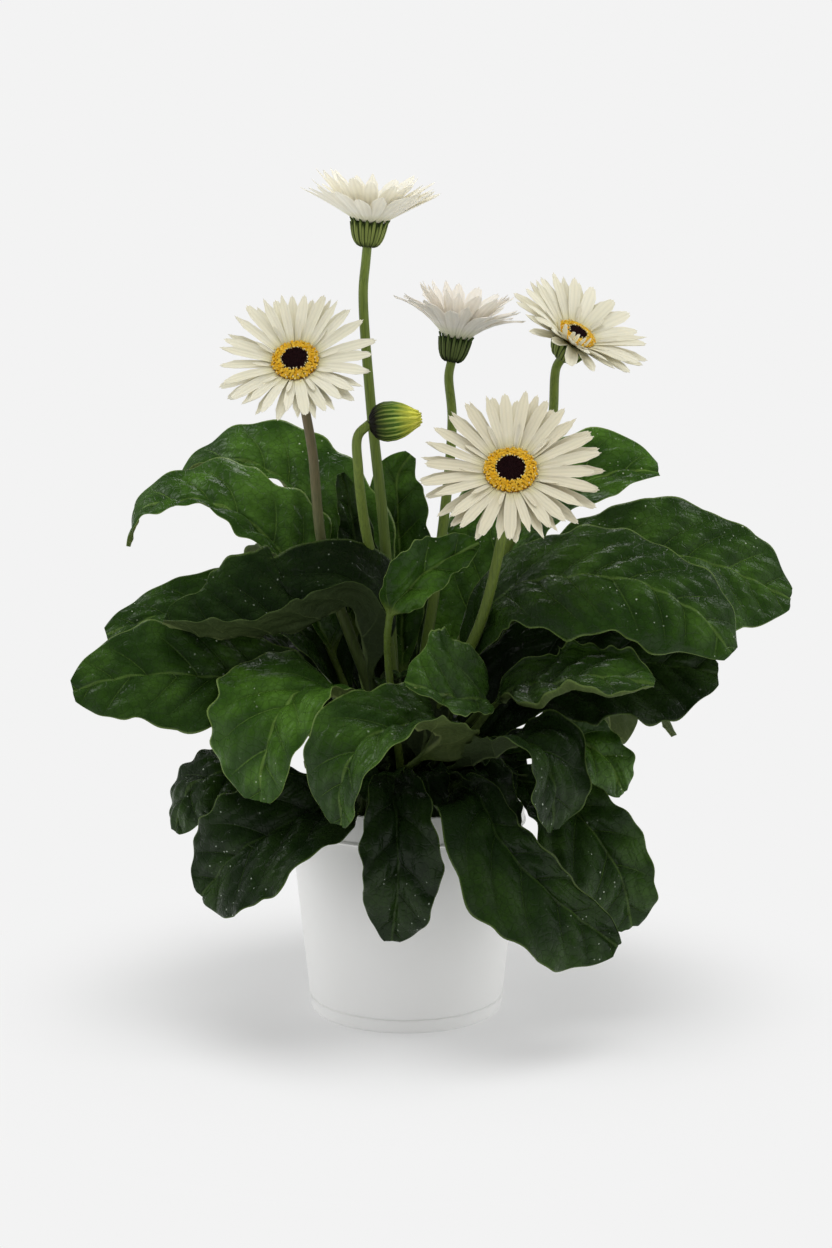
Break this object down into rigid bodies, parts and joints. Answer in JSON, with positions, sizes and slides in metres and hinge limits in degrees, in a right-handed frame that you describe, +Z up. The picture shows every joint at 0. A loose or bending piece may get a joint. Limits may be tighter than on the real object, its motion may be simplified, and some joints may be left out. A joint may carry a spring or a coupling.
{
  "type": "potted gerbera",
  "caption": "Gerbera daisy in a plain white round pot: a dense rosette of glossy lobed leaves under cream flower heads with yellow discs and a dark eye, and a bud.",
  "frame": {"origin": "centre of the pot's flat underside, on the surface that the pot stands on", "axes": "+Z up along the pot's axis; -Y towards the viewer's side, where the largest flower head faces; +X to the viewer's right"},
  "size_m": [0.417, 0.2957, 0.4901],
  "materials": {
    "pot_plastic": "satin",
    "potting_soil": "matte",
    "crown_tissue": "matte",
    "leaf_blade": "satin",
    "stem_green": "satin",
    "calyx_green": "matte",
    "petal_cream": "matte",
    "floret_yellow": "matte",
    "eye_maroon": "matte",
    "bud_green": "matte",
    "bud_yellow": "matte"
  },
  "bodies": {
    "root": {"pot": "pot_plastic", "soil": "potting_soil", "crown": "crown_tissue", "leaf_high_left_front": "leaf_blade", "leaf_high_left_back": "leaf_blade", "leaf_folded_left": "leaf_blade", "leaf_mid_left_back": "leaf_blade", "leaf_mid_left": "leaf_blade", "leaf_front_left": "leaf_blade", "leaf_front": "leaf_blade", "leaf_cup": "leaf_blade", "leaf_boat": "leaf_blade", "leaf_right_front": "leaf_blade", "leaf_right_back": "leaf_blade", "leaf_right_shade": "leaf_blade", "leaf_low_right_side": "leaf_blade", "leaf_high_right": "leaf_blade", "leaf_centre_back": "leaf_blade", "leaf_upright": "leaf_blade", "leaf_low_left_front": "leaf_blade", "leaf_low_left_side": "leaf_blade", "leaf_low_front": "leaf_blade", "leaf_low_right_front": "leaf_blade", "leaf_low_right": "leaf_blade", "leaf_low_right_back": "leaf_blade", "leaf_tongue": "leaf_blade", "leaf_young": "leaf_blade", "leaf_back_low_right": "leaf_blade", "leaf_back_low": "leaf_blade", "leaf_back_low_left": "leaf_blade", "leaf_back_right": "leaf_blade", "leaf_back_left": "leaf_blade", "flower_top_stem": "stem_green", "flower_top_calyx": "calyx_green", "flower_top_petals": "petal_cream", "flower_top_disc": "floret_yellow", "flower_top_eye": "eye_maroon", "flower_left_stem": "stem_green", "flower_left_calyx": "calyx_green", "flower_left_petals": "petal_cream", "flower_left_disc": "floret_yellow", "flower_left_eye": "eye_maroon", "flower_mid_stem": "stem_green", "flower_mid_calyx": "calyx_green", "flower_mid_petals": "petal_cream", "flower_mid_disc": "floret_yellow", "flower_mid_eye": "eye_maroon", "flower_right_stem": "stem_green", "flower_right_calyx": "calyx_green", "flower_right_petals": "petal_cream", "flower_right_disc": "floret_yellow", "flower_right_eye": "eye_maroon", "flower_front_stem": "stem_green", "flower_front_calyx": "calyx_green", "flower_front_petals": "petal_cream", "flower_front_disc": "floret_yellow", "flower_front_eye": "eye_maroon", "bud_stem": "stem_green", "bud_bracts": "bud_green", "bud_tip": "bud_yellow"}
  },
  "joints": []
}
